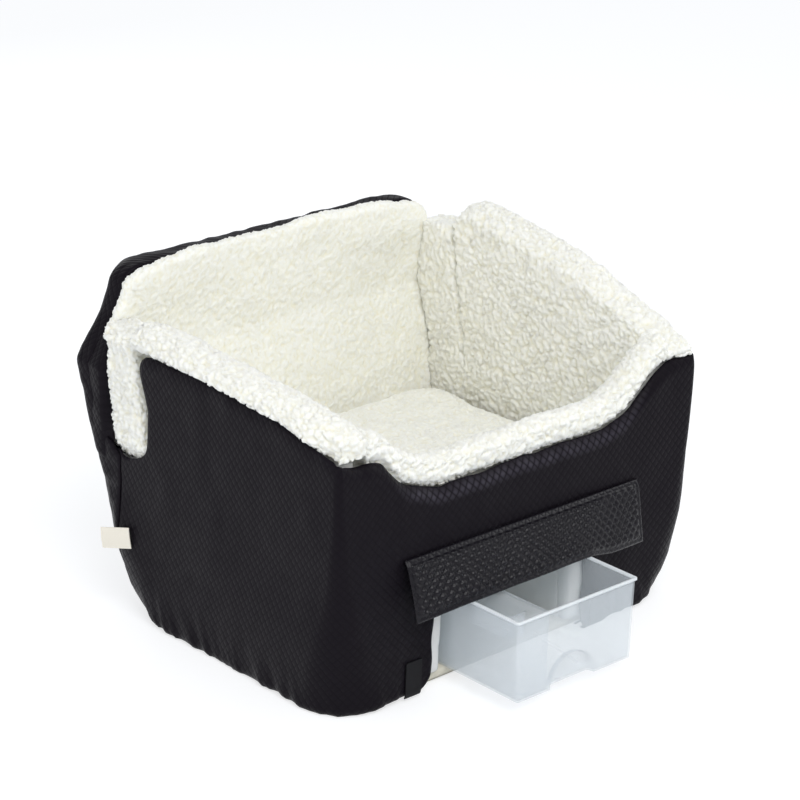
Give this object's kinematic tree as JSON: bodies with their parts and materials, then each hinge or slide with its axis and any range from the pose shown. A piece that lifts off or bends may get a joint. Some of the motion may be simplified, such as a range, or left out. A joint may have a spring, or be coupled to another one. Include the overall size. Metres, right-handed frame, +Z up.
{
  "type": "dog car seat",
  "caption": "Raised foam car seat for a small dog, with a black quilted cover, cream fleece cabin and cushion, and a clear storage drawer under the deck.",
  "frame": {"origin": "middle of the underside of the base board, taken over the body's width and over its depth with the drawer left out", "axes": "+X towards the seat's right side seen from the drawer's side, -Y the way that the drawer and flap face, +Z up"},
  "size_m": [0.5841, 0.625, 0.433],
  "materials": {
    "black_quilt": "quilted, slightly satin",
    "cream_fleece": "curly pile",
    "white_foam": "open cell foam",
    "cream_foam": "closed cell foam board",
    "clear_plastic": "translucent, lightly frosted",
    "black_hook_tape": "hook and loop tape, elastic",
    "black_webbing": "woven webbing",
    "cream_label": "woven tape, blank"
  },
  "bodies": {
    "seat": {"base_board": "cream_foam", "foam_left": "white_foam", "foam_right": "white_foam", "foam_front": "white_foam", "foam_back": "white_foam", "riser_left": "white_foam", "riser_right": "white_foam", "riser_rear": "white_foam", "deck_board": "white_foam", "cover_left": "black_quilt", "cover_right": "black_quilt", "cover_front": "black_quilt", "cover_back": "black_quilt", "fleece_left": "cream_fleece", "fleece_right": "cream_fleece", "fleece_front": "cream_fleece", "fleece_back": "cream_fleece", "fleece_gusset_left": "cream_fleece", "fleece_gusset_right": "cream_fleece", "hook_patch_left": "black_hook_tape", "hook_patch_right": "black_hook_tape", "hem_elastic": "black_hook_tape", "label_tab": "cream_label", "belt_loop": "black_webbing"},
    "drawer": {"drawer_tray": "clear_plastic"},
    "flap": {"drawer_flap": "black_quilt", "flap_loop_patch_left": "black_hook_tape", "flap_loop_patch_right": "black_hook_tape"},
    "cushion": {"cushion": "cream_fleece"}
  },
  "joints": [
    {"name": "drawer_slide", "type": "slide", "parent": "seat", "child": "drawer", "axis": [0, -1, 0], "range_m": [-0.111, 0.2]},
    {"name": "flap_lift", "type": "hinge", "parent": "seat", "child": "flap", "pos_m": [-0.001, -0.25722, 0.19], "axis": [-1, 0, 0], "range_deg": [0, 120]},
    {"name": "cushion_lift", "type": "slide", "parent": "seat", "child": "cushion", "axis": [0, 0, 1], "range_m": [0, 0.3]}
  ]
}
